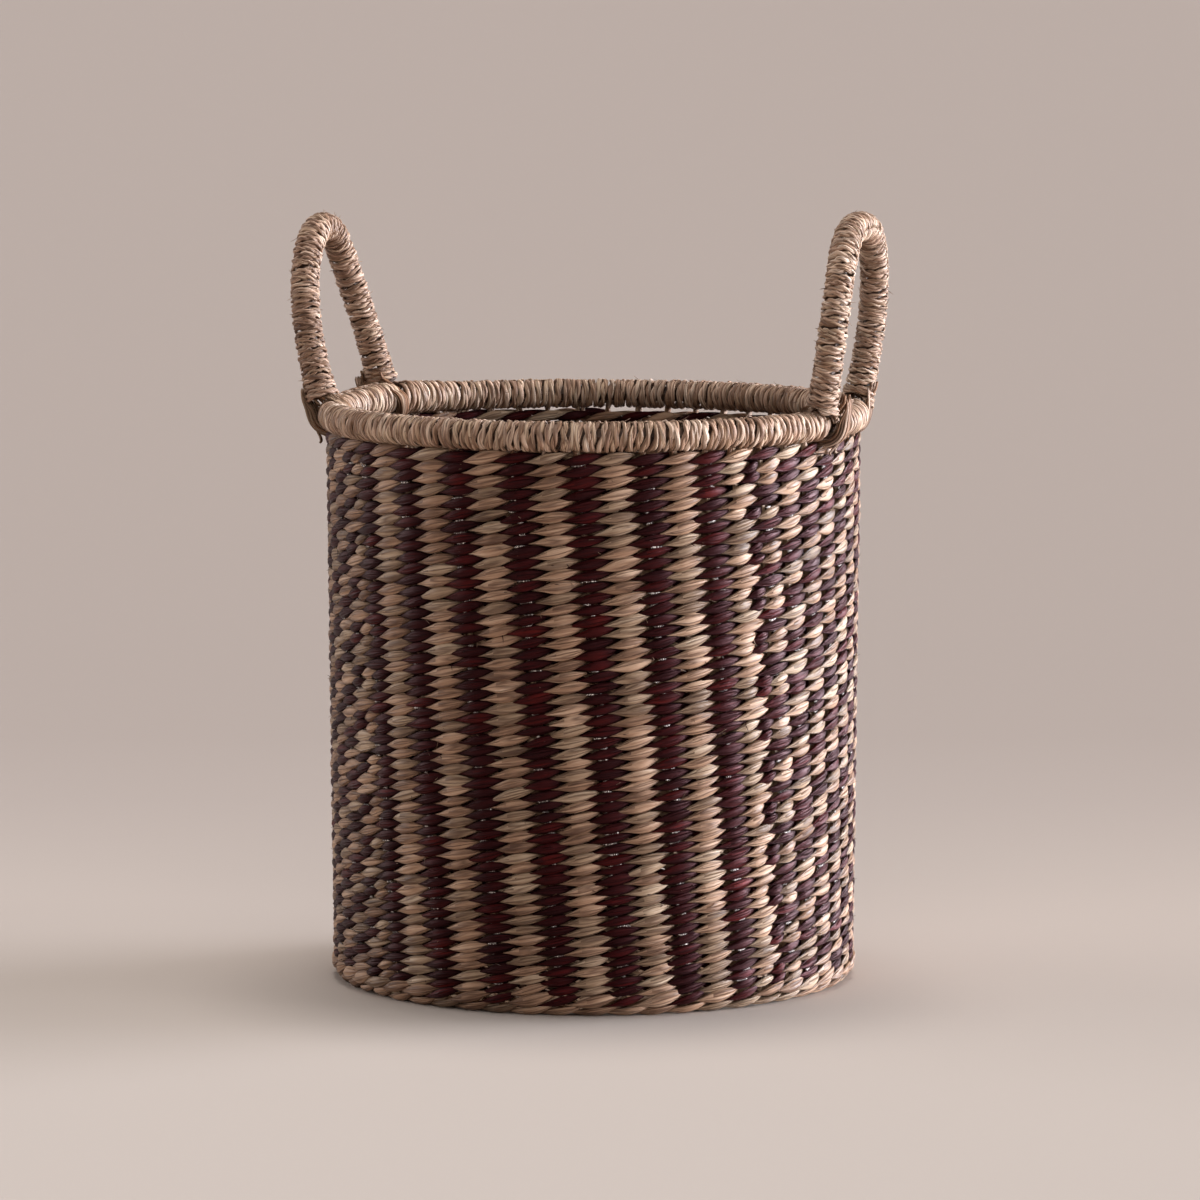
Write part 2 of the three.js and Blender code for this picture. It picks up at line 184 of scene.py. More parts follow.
# %% A sheet of nodes
class Sheet:
    """One material and its nodes."""

    def __init__(self, name):
        self.material = bpy.data.materials.new(name)
        self.material.use_nodes = True
        self.tree = self.material.node_tree
        self.shader = self.tree.nodes["Principled BSDF"]

    def node(self, kind, settings=None, sockets=None, output=0):
        made = self.tree.nodes.new(kind)
        for name, value in (settings or {}).items():
            if name == "stops":
                self.stops(made.color_ramp, value)
            else:
                setattr(made, name, value)
        for key, value in (sockets or {}).items():
            self.feed(made.inputs[key], value)
        return Link(self, made.outputs[output])

    def stops(self, ramp, stops):
        while len(ramp.elements) < len(stops):
            ramp.elements.new(1)
        for element, (position, color) in zip(ramp.elements, stops):
            element.position = position
            element.color = (*color, 1)

    def feed(self, socket, value):
        if isinstance(value, Link):
            self.tree.links.new(value.socket, socket)
        else:
            socket.default_value = value

    def math(self, operation, first, second=0.0, clamp=False):
        return self.node("ShaderNodeMath", {"operation": operation, "use_clamp": clamp},
                         {0: first, 1: second})

    def stretch(self, vector, scale):
        return self.node("ShaderNodeVectorMath", {"operation": 'MULTIPLY'}, {0: vector, 1: scale})

    def noise(self, vector, scale, detail, roughness):
        return self.node("ShaderNodeTexNoise", {}, {"Vector": vector, "Scale": scale, "Detail": detail,
                                                    "Roughness": roughness})

    def ramp(self, factor, stops):
        return self.node("ShaderNodeValToRGB", {"stops": stops}, {0: factor})

    def blend(self, factor, first, second):
        return self.node("ShaderNodeMix", {"data_type": 'RGBA'}, {0: factor, 6: first, 7: second}, output=2)

    def attribute(self, name):
        return self.node("ShaderNodeAttribute", {"attribute_name": name}, output=2)

    def fibre(self):
        """The place along and round a strand."""
        return self.node("ShaderNodeUVMap", {"uv_map": "Fibre"})

    def place(self):
        """The place on the object."""
        return self.node("ShaderNodeTexCoord", output=3)

    def bump(self, strength, distance, height):
        return self.node("ShaderNodeBump", {}, {"Strength": strength, "Distance": distance, "Height": height})

    def finish(self, **values):
        for name, value in values.items():
            self.feed(self.shader.inputs[name.replace("_", " ")], value)
        return self.material


# %% Colours as they are read off a picture
def shade_of(red, green, blue):
    """A colour as it is read off a picture, turned into the light it stands for."""
    return tuple(round(((v / 255 + 0.055) / 1.055) ** 2.4, 5) for v in (red, green, blue))


print("middle grey stands for", shade_of(128, 128, 128)[0], "of the light")

# %% [markdown]
# ## Grass, dyed grass and twine
# A grass blade has fine ribs along its length, and no two blades have the same colour. Each strand carries
# two random numbers, `shade` and `tone`, and its own UV map `Fibre`, which runs along and round the strand.
# So one material can give every strand its own colour and let the ribs follow it through every bend. Ribs,
# broader streaks and soft patches over the whole basket are noises. Added to the strand's shade they pick a
# colour from a ramp. Thin slits are dark. The end of a dyed stitch that dives into the weave is painted
# darker too, as painted shade.

# %% One recipe for all grass
SHADE_SHARE = 0.36
STREAK_SHARE = 0.7
PATCH_SHARE = 0.3
PATCH_SCALE = 55.0
SLIT_STEEPNESS = 11.0
RAMP_MIDDLE = 0.33


def grass(name, stops, first, second, slit_and_painted_shade, split, rib_contrast, roughness, rib_height, ribs, streaks,
          gloss, tint=(1.0, 1.0, 1.0), painted_end_shade=0.0):
    """first and second are two rows of colours, dark to light, and split is the share of the first row."""
    sheet = Sheet(name)
    fibre = sheet.fibre()
    fine = sheet.noise(sheet.stretch(fibre, (1.3, ribs, 1)), 1.0, 3.0, 0.65)
    broad = sheet.noise(sheet.stretch(fibre, (1.1, streaks, 1)), 1.0, 2.0, 0.5)
    creases = sheet.noise(sheet.stretch(fibre, (0.8, streaks, 1)), 1.0, 1.0, 0.4)
    slit = sheet.math('MULTIPLY', sheet.math('ABSOLUTE', creases - 0.5), SLIT_STEEPNESS, clamp=True)
    patch = sheet.noise(sheet.place(), PATCH_SCALE, 2.0, 0.5)
    position = (sheet.attribute("shade") * SHADE_SHARE + broad * STREAK_SHARE + fine * rib_contrast
                + patch * PATCH_SHARE - (RAMP_MIDDLE + rib_contrast / 2))
    rows = [sheet.ramp(position, [(stop, shade_of(*rgb)) for stop, rgb in zip(stops, row)])
            for row in (first, second)]
    color = sheet.blend(sheet.math('GREATER_THAN', sheet.attribute("tone"), split), *rows)
    # the slit colour, which on dyed grass also serves as the painted shade of the diving end
    dark = (*shade_of(*slit_and_painted_shade), 1)
    color = sheet.blend(0.3 + slit * 0.7, dark, color)
    # painted shade: the end of a dyed stitch turns darker where it dives into the weave
    if painted_end_shade:
        end = sheet.node("ShaderNodeMapRange", {},
                         {"Value": sheet.attribute("end"), "From Min": 0.25, "From Max": 0.72})
        color = sheet.blend(end * painted_end_shade, color, dark)
    bump = sheet.bump(1.0, rib_height, fine * 0.5 + broad * 0.8 + slit * 0.35)
    return sheet.finish(Base_Color=color, Roughness=roughness + (fine - 0.5) * 0.3, Normal=bump,
                        Specular_IOR_Level=gloss, Specular_Tint=(*tint, 1))


# %% The five kinds of grass
natural_grass = grass(
    "natural grass", (0.0, 0.35, 0.7, 1.0),
    ((88, 60, 44), (158, 121, 95), (194, 160, 134), (236, 214, 196)),
    ((82, 60, 45), (150, 121, 96), (188, 162, 137), (232, 216, 198)),
    slit_and_painted_shade=(74, 46, 32), split=0.62, rib_contrast=1.1, roughness=0.5, rib_height=1.2 * MM,
    ribs=13.0, streaks=6.0, gloss=0.35, tint=(1.0, 0.97, 0.97))
# dyed grass: its diving ends carry painted shade
dyed_grass = grass(
    "dyed grass", (0.0, 0.4, 0.75, 1.0),
    ((12, 0, 1), (36, 3, 3), (69, 11, 11), (107, 32, 29)),
    ((16, 1, 2), (50, 7, 5), (83, 17, 12), (119, 39, 29)),
    slit_and_painted_shade=(12, 1, 2), split=0.68, rib_contrast=1.0, roughness=0.5, rib_height=1.2 * MM,
    ribs=13.0, streaks=6.0, gloss=0.27, tint=(1.0, 0.33, 0.36), painted_end_shade=0.85)
twine = grass(
    "grass twine", (0.0, 0.35, 0.7, 1.0),
    ((84, 54, 37), (170, 133, 109), (214, 185, 162), (253, 236, 221)),
    ((76, 48, 33), (152, 116, 91), (200, 170, 143), (243, 224, 205)),
    slit_and_painted_shade=(74, 47, 33), split=0.62, rib_contrast=1.25, roughness=0.55, rib_height=0.7 * MM,
    ribs=13.0, streaks=4.0, gloss=0.3)
strap_grass = grass(
    "brown grass blade", (0.0, 0.4, 0.75, 1.0),
    ((80, 56, 41), (142, 111, 88), (178, 147, 122), (208, 182, 158)),
    ((78, 48, 32), (140, 97, 68), (172, 126, 93), (200, 158, 124)),
    slit_and_painted_shade=(54, 35, 25), split=0.7, rib_contrast=1.2, roughness=0.72, rib_height=1.0 * MM,
    ribs=9.0, streaks=4.0, gloss=0.2)
tan_grass = grass(
    "tan grass blade", (0.0, 0.4, 0.75, 1.0),
    ((104, 76, 60), (172, 142, 122), (206, 180, 160), (232, 214, 200)),
    ((72, 46, 32), (128, 92, 68), (166, 128, 100), (200, 168, 142)),
    slit_and_painted_shade=(66, 44, 32), split=0.6, rib_contrast=1.2, roughness=0.72, rib_height=1.0 * MM,
    ribs=9.0, streaks=4.0, gloss=0.2)
kinds = (natural_grass, dyed_grass, twine, strap_grass, tan_grass)
print("grass materials:", ", ".join(kind.name for kind in kinds))

# %% [markdown]
# ## A strand, modelled once
# Every stitch and every turn of twine is the same thing, a flat bundle of grass. It starts as a tube along
# X. Its long edges are subdivided into rings, and each ring is resized and moved, as a modeller would do it
# by hand. The two ends are merged to points. The copies are then laid by a formula, because the weave has
# thousands of stitches and each one sits a little differently.

# %% Keep a strand's points and faces
TIP = 0.999


class Pattern:
    """The points and faces of a modelled strand, ready to be copied."""

    def __init__(self, piece, outline):
        mesh = piece.data
        self.points = np.array([v.co for v in mesh.vertices])
        self.bow = np.array([outline(x)[2] for x in self.points[:, 0]])
        self.corners = np.array([loop.vertex_index for loop in mesh.loops])
        self.starts = np.array([face.loop_start for face in mesh.polygons])
        self.totals = np.array([face.loop_total for face in mesh.polygons])
        self.uvs = np.zeros((len(self.corners), 2))
        for face in mesh.polygons:
            turns = []
            for corner in face.loop_indices:
                x, y, z = self.points[self.corners[corner]]
                width, thickness, bow, rise = outline(x)
                self.uvs[corner, 0] = (x + 1) / 2
                turn = math.atan2((z - rise) / width, (y - bow) / thickness) % (2 * math.pi)
                turns.append(None if abs(x) > TIP else turn)
            known = [turn for turn in turns if turn is not None]
            if max(known) - min(known) > math.pi:
                turns = [turn + 2 * math.pi if turn is not None and turn < math.pi else turn
                         for turn in turns]
                known = [turn for turn in turns if turn is not None]
            middle = sum(known) / len(known)
            for corner, turn in zip(face.loop_indices, turns):
                self.uvs[corner, 1] = (middle if turn is None else turn) / (2 * math.pi)


# %% Model a strand by hand
def model_strand(name, outline, sides, rings):
    bpy.ops.object.select_all(action='DESELECT')
    bpy.ops.mesh.primitive_cylinder_add(vertices=sides, radius=1, depth=2, end_fill_type='NOTHING',
                                        rotation=(0, math.pi / 2, 0))
    piece = bpy.context.object
    piece.name = name
    bpy.ops.object.transform_apply(location=True, rotation=True, scale=True)
    bpy.ops.object.mode_set(mode='EDIT')
    bpy.ops.mesh.select_mode(type='EDGE')
    bpy.ops.mesh.select_all(action='DESELECT')
    mesh = bmesh.from_edit_mesh(piece.data)
    for edge in mesh.edges:
        edge.select = abs(edge.verts[0].co.x - edge.verts[1].co.x) > 1
    bmesh.update_edit_mesh(piece.data)
    bpy.ops.mesh.subdivide(number_cuts=rings - 2)
    bpy.ops.mesh.select_mode(type='VERT')
    for x in np.linspace(-1, 1, rings):
        bpy.ops.mesh.select_all(action='DESELECT')
        mesh = bmesh.from_edit_mesh(piece.data)
        for vert in mesh.verts:
            vert.select = abs(vert.co.x - x) < 0.5 / rings
        mesh.select_flush(True)
        bmesh.update_edit_mesh(piece.data)
        width, thickness, bow, rise = outline(x)
        if abs(x) > TIP:
            bpy.ops.mesh.merge(type='CENTER')
        else:
            bpy.ops.transform.resize(value=(1, thickness, width), center_override=(x, 0, 0))
        bpy.ops.transform.translate(value=(0, bow, rise))
    bpy.ops.mesh.select_all(action='SELECT')
    bpy.ops.mesh.normals_make_consistent(inside=False)
    bpy.ops.object.mode_set(mode='OBJECT')
    pattern = Pattern(piece, outline)
    print(name, "has", len(pattern.starts), "faces")
    bpy.data.objects.remove(piece)
    return pattern


# %% [markdown]
# ## Laying copies
# `lay` turns a modelled strand and a list of places into one piece. Each copy keeps its own random shade, a
# shifted `Fibre` map, so that no two strands show the same ribs, and its own cell in the map for baking.
# `length` stretches the ribs along a strand, and the lift raises its shade: painted light, where a piece
# lies in more shade than the rest.

# %% Lay copies of a strand
FIBRE_SHIFT = 40
CELL_MARGIN = 0.05


def lay(name, pattern, places, body, material, nodes, length=1.0, painted_light_lift=0.0):
    count, size = places.shape[:2]
    mesh = bpy.data.meshes.new(name)
    corners = (pattern.corners[None, :] + size * np.arange(count)[:, None]).ravel()
    starts = (pattern.starts[None, :] + len(pattern.corners) * np.arange(count)[:, None]).ravel()
    mesh.vertices.add(count * size)
    mesh.vertices.foreach_set("co", places.astype(np.float32).ravel())
    mesh.loops.add(len(corners))
    mesh.loops.foreach_set("vertex_index", corners.astype(np.int32))
    mesh.polygons.add(len(starts))
    mesh.polygons.foreach_set("loop_start", starts.astype(np.int32))
    mesh.update(calc_edges=True)
    mesh.validate()
    # painted light: the lift raises the shade of every strand in a piece
    for label, painted_light_added in (("shade", painted_light_lift), ("tone", 0.0)):
        values = np.repeat(chance.rand(count) + painted_light_added, size)
        mesh.attributes.new(label, 'FLOAT', 'POINT').data.foreach_set("value", values.astype(np.float32))
    # the place along each strand, from which the dyed grass paints the shade at its diving end
    ends = np.tile(np.clip(pattern.points[:, 0], -1, 1), count)
    mesh.attributes.new("end", 'FLOAT', 'POINT').data.foreach_set("value", ends.astype(np.float32))
    fibre = pattern.uvs[None] * (length, 1) + chance.rand(count, 1, 2) * FIBRE_SHIFT
    columns = math.ceil(math.sqrt(count))
    cells = np.stack([np.arange(count) % columns, np.arange(count) // columns], -1)[:, None]
    baked = (cells + CELL_MARGIN + (1 - 2 * CELL_MARGIN) * pattern.uvs[None]) / columns
    for label, values in (("Fibre", fibre), ("OFBake", baked)):
        mesh.uv_layers.new(name=label).data.foreach_set("uv", values.astype(np.float32).ravel())
    mesh.materials.append(material)
    piece = bpy.data.objects.new(name, mesh)
    scene.collection.objects.link(piece)
    mesh.shade_smooth()
    if isinstance(body, tuple):
        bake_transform(piece)
    else:
        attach(piece, body)
    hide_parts(*nodes)
    print(name, "is made of", count, "strands,", int((pattern.totals - 2).sum()) * count, "triangles")


# %% [markdown]
# ## The stitch
# In twining, a weaver comes out between two stakes, swells over one of them and dives back in. Seen from
# outside it is a leaf. Its left end is a long, low tip that lies over the stitch before it. Its right end is
# blunt and high, and turns in quickly. The table gives its half height, its half thickness and how far its
# middle stands out, in millimetres, at places counted in stakes from the one it covers.

# %% The leaf of a stitch
STITCH_REACH = 0.9
LEAF = np.array([
    (-0.90, 0.15, 0.30, 0.0), (-0.80, 0.30, 0.35, 2.1), (-0.68, 0.48, 0.50, 2.75), (-0.56, 0.95, 0.70, 2.90),
    (-0.45, 1.60, 0.95, 3.00), (-0.34, 2.55, 1.25, 3.15), (-0.2, 3.5, 1.6, 3.3), (0.00, 4.25, 1.75, 3.40),
    (0.25, 4.05, 1.65, 3.05), (0.45, 3.10, 1.45, 2.20), (0.62, 2.00, 1.15, 0.90), (0.75, 1.00, 0.80, -0.4),
    (0.90, 0.15, 0.40, -1.6)])


def leaf(x):
    width, thickness, bow = (np.interp(STITCH_REACH * x, LEAF[:, 0], LEAF[:, n]) for n in (1, 2, 3))
    return width * MM, thickness * MM, bow * MM, 0.0


stitch = model_strand("stitch", leaf, sides=8, rings=11)
plain_stitch = model_strand("stitch seen from inside", leaf, sides=6, rings=7)

# %% [markdown]
# ## The colours of the weave
# With two weavers and an even number of stakes, the same weaver covers the same stake in every course, which
# gives stripes. On the front the stripes are left alone. At both ends of the front the weaver gives the pair
# an extra half twist in some courses, with a short stitch in the gap. Beyond it these courses are swapped,
# and the stripes break up into small checks.

# %% Which colour goes where
FRONT_FIRST = -6
FRONT_LAST = 7
SINGLE_COURSES = (5, 31)
swapped = np.zeros(COURSES, bool)
row = 1
run_swapped = True
while row < COURSES:
    run = 1 if row in SINGLE_COURSES else 2
    swapped[row:row + run] = run_swapped
    run_swapped = not run_swapped
    row += run
print("swapped courses:", int(swapped.sum()), "of", COURSES)


def is_natural(course, column):
    """Column 0 stands at the middle of the front, and columns count towards the right."""
    column = (column + STAKES // 2) % STAKES - STAKES // 2
    striped = column % 2 == 1
    in_front = FRONT_FIRST <= column <= FRONT_LAST
    return striped if in_front or not swapped[course] else not striped


# %% [markdown]
# ## Laying the stitches along the profile
# A course lies somewhere on the basket's profile: under the base, round the foot or on the wall. For each
# stitch that profile gives a ring radius, a height and the direction that faces outwards. The stitch is
# turned a little, bent round the ring and set down there. A weaver's hands never repeat a stitch exactly, so
# each one also gets its own small roll, length, slide, height, tilt and curl.

# %% Set stitches down
ROLL, LONGER, SLIDE, TALLER, TILT, CURL = 0.10, 0.05, 0.45 * MM, 0.07, 0.03, 0.55 * MM
LOPSIDED = 0.16
OFF_UP, OFF_OUT, OFF_SQUARE = 0.22 * MM, 0.18 * MM, 0.35 * MM
FLOOR_CLEAR = 0.2 * MM


def set_down(pattern, rows, inside=False, thick=1.0):
    """rows: one line a stitch, with turn, ring, height, up_r, up_z, half_length, half_height, slant."""
    table = np.array(rows, float)
    count = len(table)
    turn, ring, height, up_r, up_z, reach, tall, slant = (table[:, [i]] for i in range(8))
    wobble = chance.normal(size=(count, 6))
    rolled, longer, slid, taller, tilted, curled = (wobble[:, [i]] for i in range(6))
    x, y, z = (pattern.points[None, :, i] for i in range(3))
    roll = ROLL * rolled
    bow = pattern.bow[None]
    y, z = bow + (y - bow) * np.cos(roll) - z * np.sin(roll), z * np.cos(roll) + (y - bow) * np.sin(roll)
    along = x * reach * (1 + LONGER * longer) + SLIDE * slid
    lopsided = LOPSIDED * chance.normal(size=(count, 1)) * x
    up = z * tall * (1 + TALLER * taller + lopsided) + along * (slant + TILT * tilted)
    up = up + CURL * curled * (x * x - 0.2)
    uneven = chance.normal(size=(count, 3))
    up = up + OFF_UP * uneven[:, [0]]
    out = y * thick + OFF_OUT * uneven[:, [1]] + OFF_SQUARE * uneven[:, [2]] * x
    if inside:
        out = -out
        up = up - 2 * along * slant
    norm_r, norm_z = up_z, -up_r
    radius = ring + up * up_r + out * norm_r
    level = np.maximum(height + up * up_z + out * norm_z, FLOOR_CLEAR)
    angle = turn + along / np.maximum(ring, 1 * MM)
    return round_the_basket(radius, angle, level)


# %% The stitches of a course
STITCH_SLANT = 0.19
FRONT_TURN = -math.pi / 2
NATURAL_TALL = 0.95
DYED_TALL = 0.86
EDGE_SHIFT, EDGE_REACH = 0.16, 0.78
GAP_REACH, GAP_TALL, GAP_SLANT = 0.6, 0.85, 1.3 * STITCH_SLANT


def course_rows(course, natural, inside):
    """The stitches of one weaver in one course, with the short ones where the stripes end."""
    height = course_heights[course]
    ring = wall_ring(height)
    reach = STITCH_REACH * PITCH * ring
    slope = (RIM_RING - FOOT_RING) / (RIM_HEIGHT - FOOT_ROUND)
    rows = []
    for column in range(-STAKES // 2, STAKES // 2):
        if is_natural(course, column) == (natural != inside):
            shift, size = 0.0, 1.0
            if swapped[course] and column in (FRONT_FIRST, FRONT_LAST + 1):
                shift, size = EDGE_SHIFT, EDGE_REACH
            if swapped[course] and column in (FRONT_FIRST - 1, FRONT_LAST):
                shift, size = -EDGE_SHIFT, EDGE_REACH
            turn = FRONT_TURN + (column + shift) * PITCH + lean(height)
            level = course_level(height, turn)
            tall = course_size[course] * (NATURAL_TALL if natural else DYED_TALL)
            rows.append((turn, ring, level, slope, 1.0, reach * size, tall, STITCH_SLANT))
    if swapped[course]:
        for edge, is_light in ((FRONT_FIRST - 0.5, True), (FRONT_LAST + 0.5, False)):
            if is_light == (natural != inside):
                turn = FRONT_TURN + edge * PITCH + lean(height)
                level = course_level(height, turn)
                rows.append((turn, ring, level, slope, 1.0, reach * GAP_REACH, GAP_TALL, GAP_SLANT))
    return rows


stitch_length = 2 * STITCH_REACH * PITCH * wall_ring(RIM_HEIGHT / 2)
print("a stitch halfway up is", round(stitch_length / MM, 1), "mm long")

# %% [markdown]
# The wall is laid in four pieces: each weaver, outside and inside. Where a weaver is outside the wall at one
# stake, the other one is inside it there.

# %% The wall
for natural, word, material in ((True, "natural", natural_grass), (False, "dyed", dyed_grass)):
    for inside, where in ((False, "outside"), (True, "inside")):
        rows = [line for course in range(COURSES) for line in course_rows(course, natural, inside)]
        pattern = plain_stitch if inside else stitch
        lay(f"{word}_weave_{where}", pattern, set_down(pattern, rows, inside), "basket",
            material, ["wall_weave"])

# %% [markdown]
# The dyed grass is thinner than the natural. So between two dyed stitches the stake shows through as a
# short, pale, ridged spot.

# %% Stakes showing through
SPOTS_SEEN = 0.7
SPOT_OUT = 2.8
SPOT_REACH = 3.0
SPOT_TALL = 0.8
SPOT_SLANT = 0.09


def spot(x):
    width = 1.0 * math.sqrt(max(1 - x * x, 0.05))
    return width * MM, 0.8 * width * MM, 0.0, 0.0


reed_spot = model_strand("reed spot", spot, sides=6, rings=7)
rows = []
for course in range(COURSES - 1):
    for column in range(-STAKES // 2, STAKES // 2):
        if not is_natural(course, column) and chance.rand() < SPOTS_SEEN:
            height = (course_heights[course] + course_heights[course + 1]) / 2
            turn = FRONT_TURN + column * PITCH + lean(height) + 0.006 * chance.normal()
            level = course_level(height, turn)
            ring = wall_ring(height) + (SPOT_OUT + 0.3 * chance.normal()) * MM
            reach = (SPOT_REACH + 1.1 * chance.normal()) * MM
            rows.append((turn, ring, level, 0.0, 1.0, reach, SPOT_TALL, SPOT_SLANT))
spot_places = set_down(reed_spot, rows)

# %% [markdown]
# ## The foot border
# The last courses turn the wall round into the base. The lower one is all natural. In the upper one the dyed
# weaver still comes out once in a while on the front, as a thin stitch between two long natural ones.

# %% Foot border
FOOT_COURSES = ((10, 1.0, 9.0), (52, 0.95, 10.0), (84, 0.9, 7.0))
FOOT_SLANT = 0.2
FOOT_DEPTH = 8 * MM
FOOT_LONGER = 1.04
FRONT_LONGER = 1.06
THIN_REACH, THIN_TALL, THIN_SLANT = 0.9, 0.74, 0.24
rows, dyed_rows, under_rows = [], [], []
for degrees, tall, swell in FOOT_COURSES:
    turned = math.radians(degrees)
    ring = BEND_RING + swell * MM * math.cos(turned)
    height = FOOT_ROUND - FOOT_DEPTH * math.sin(turned)
    for column in range(-STAKES // 2, STAKES // 2):
        turn = FRONT_TURN + column * PITCH + WALL_LEAN
        reach = STITCH_REACH * PITCH * ring * FOOT_LONGER
        line = (turn, ring, height, math.sin(turned), math.cos(turned))
        if degrees < 30 and column % 2 == 0 and FRONT_FIRST < column < FRONT_LAST:
            dyed_rows.append((*line, THIN_REACH * reach, THIN_TALL * tall, THIN_SLANT))
        elif degrees > 80:
            under_rows.append((*line, reach, tall, FOOT_SLANT))
        else:
            longer = FRONT_LONGER if degrees < 30 and FRONT_FIRST < column < FRONT_LAST else 1.0
            rows.append((*line, longer * reach, tall, FOOT_SLANT))
lay("foot_border_rounds", stitch, set_down(stitch, rows, thick=1.05), "basket",
    natural_grass, ["foot_border"])
lay("foot_border_under", stitch, set_down(stitch, under_rows, thick=0.6), "basket",
    natural_grass, ["foot_border"])
# the thin dyed stitches at the foot get a lighter shade
lay("foot_border_dyed", stitch, set_down(stitch, dyed_rows), "basket",
    dyed_grass, ["foot_border"], painted_light_lift=0.5)

# %% [markdown]
# ## The base
# Under the basket the stakes run together towards the middle, so the stitches get shorter from round to
# round. Near the middle one stitch covers two stakes. The same rounds show inside the basket, as its floor.

# %% Where the rods run
SECTOR = STAKES // 4
HALVINGS = 24


def stake_turn(column, radius):
    """Where a stake's rod crosses a given radius of the base."""
    sector = SECTOR * round(column / SECTOR)
    offset = column - sector
    start = Vector((CROSS_REACH, offset * CROSS_SPACING))
    end = Vector((BEND_RING * math.cos(offset * PITCH), BEND_RING * math.sin(offset * PITCH)))
    low, high = 0.0, 1.0
    for _ in range(HALVINGS):
        middle = (low + high) / 2
        if start.lerp(end, middle).length < radius:
            low = middle
        else:
            high = middle
    point = start.lerp(end, low)
    return math.atan2(point.y, point.x) + sector * PITCH + WALL_LEAN


between = stake_turn(1, BEND_RING) - stake_turn(0, BEND_RING)
print("the rods meet the foot", round(math.degrees(between), 1), "degrees apart")


# %% Base rounds
BASE_ROUNDS = 14
OUTER_ROUND, INNER_ROUND, DOUBLE_ROUND = 150 * MM, 54 * MM, 96 * MM
BASE_REACH = 0.86


def small_leaf(x):
    away = abs(x)
    width = 4.1 * max(math.cos(math.pi / 2 * away) ** 0.85, 0.05)
    thickness = 1.9 * (0.35 + 0.65 * math.cos(math.pi / 2 * away))
    return width * MM, thickness * MM, 3.4 * math.cos(math.pi * 0.7 * away) * MM, 0.0


small_stitch = model_strand("small stitch", small_leaf, sides=6, rings=7)
rows = []
for ring in np.linspace(OUTER_ROUND, INNER_ROUND, BASE_ROUNDS):
    step = 1 if ring > DOUBLE_ROUND else 2
    turns = [stake_turn(column + (step - 1) / 2, ring) for column in range(0, STAKES, step)]
    for i, turn in enumerate(turns):
        following = turns[(i + 1) % len(turns)] + (2 * math.pi if i + 1 == len(turns) else 0)
        reach = BASE_REACH * (following - turn) * ring
        rows.append((turn, ring, BASE_MIDDLE, 1.0, 0.0, reach, 1.0, STITCH_SLANT))
for inside, where in ((False, "under"), (True, "top")):
    lay(f"base_rounds_{where}", small_stitch, set_down(small_stitch, rows, inside), "basket",
        natural_grass, ["base_mat"])

# %% [markdown]
# In the middle the two layers of rods cross. They are bound there by a plaited square of flat blades, which
# go over one and under one.

# %% Plaited middle of the base
PLAITS = 13
PLAIT_REACH = 48 * MM
PLAIT_LEVELS = (1.3 * MM, 9.7 * MM)
PLAIT_WAVE = 0.6 * MM


def blade(x):
    return 2.35 * MM, 0.55 * MM, 0.0, 0.0


plait_blade = model_strand("plait blade", blade, sides=6, rings=2 * PLAITS + 1)
x, y, z = (plait_blade.points[:, n] for n in range(3))
cos, sin = math.cos(WALL_LEAN), math.sin(WALL_LEAN)
places = []
for level in PLAIT_LEVELS:
    for direction in (0, 1):
        for i in range(PLAITS):
            offset = (i - (PLAITS - 1) / 2) * CROSS_SPACING
            run = x * (PLAIT_REACH - 0.35 * abs(offset))
            weave = PLAIT_WAVE * np.cos(math.pi * (run / CROSS_SPACING + i + direction))
            across = z + offset
            turned = (run, across) if direction == 0 else (-across, run)
            places.append(np.stack([turned[0] * cos - turned[1] * sin, turned[0] * sin + turned[1] * cos,
                                    level + y + weave], -1))
lay("base_plait", plait_blade, np.array(places), "basket", natural_grass, ["base_mat"],
    length=6.0)

# %% [markdown]
# ## The rim
# A hoop is wrapped in twisted twine, turn beside turn. Each turn wanders a little, and its width swells and
# shrinks as the twine twists, which leaves small dark gaps between the turns. So the twine isn't one long
# spiral here: each turn is two plies that wind round each other, laid on their own. Where a handle is tied
# on, the wrap is parted, and its last turns sink, so that the strap lies in a notch. At the back of the left
# handle the wrap is thicker, and the rim stands a little higher there.

# %% Two plies that wind round each other
WANDER = 0.7 * MM
DRIFT = 1.6 * MM


def turn_of_twine(x):
    away = abs(x)
    taper = min(1.0, 6 * (1 - away) + 0.25)
    return 1.0 * taper * MM, 1.0 * taper * MM, 0.0, 0.0


twine_turn = model_strand("turn of twine", turn_of_twine, sides=6, rings=25)


def twist(pattern, turns, half_width, half_gap, depth, turning):
    """Sideways and outward offsets of the two plies of each turn, which wind round each other."""
    x, y, z = (np.repeat(pattern.points[None, :, i], 2 * turns, 0) for i in range(3))
    ply = np.tile([[0.0], [math.pi]], (turns, 1))
    speed, start, curve, phase, drift, _ = (np.repeat(chance.rand(turns, 1), 2, 0) for _ in range(6))
    twisting = math.pi * turning * (0.6 + 0.8 * speed) * x + 2 * math.pi * start + ply
    wander = WANDER * np.sin(math.pi * (0.8 + curve) * x + 2 * math.pi * phase) + DRIFT * (drift - 0.5) * x
    own = chance.rand(2 * turns, 3)
    swell = 1 + 0.25 * np.sin(math.pi * (1 + own[:, [0]]) * x + 2 * math.pi * own[:, [1]])
    swell = swell + 0.2 * (own[:, [2]] - 0.5)
    sideways = (z / MM * half_width * swell + half_gap * np.cos(twisting) + wander
                + 0.25 * MM * chance.normal(size=(2 * turns, 1)))
    outward = y + depth * np.sin(twisting) + 0.2 * MM * chance.normal(size=(2 * turns, 1))
    return x, sideways, outward


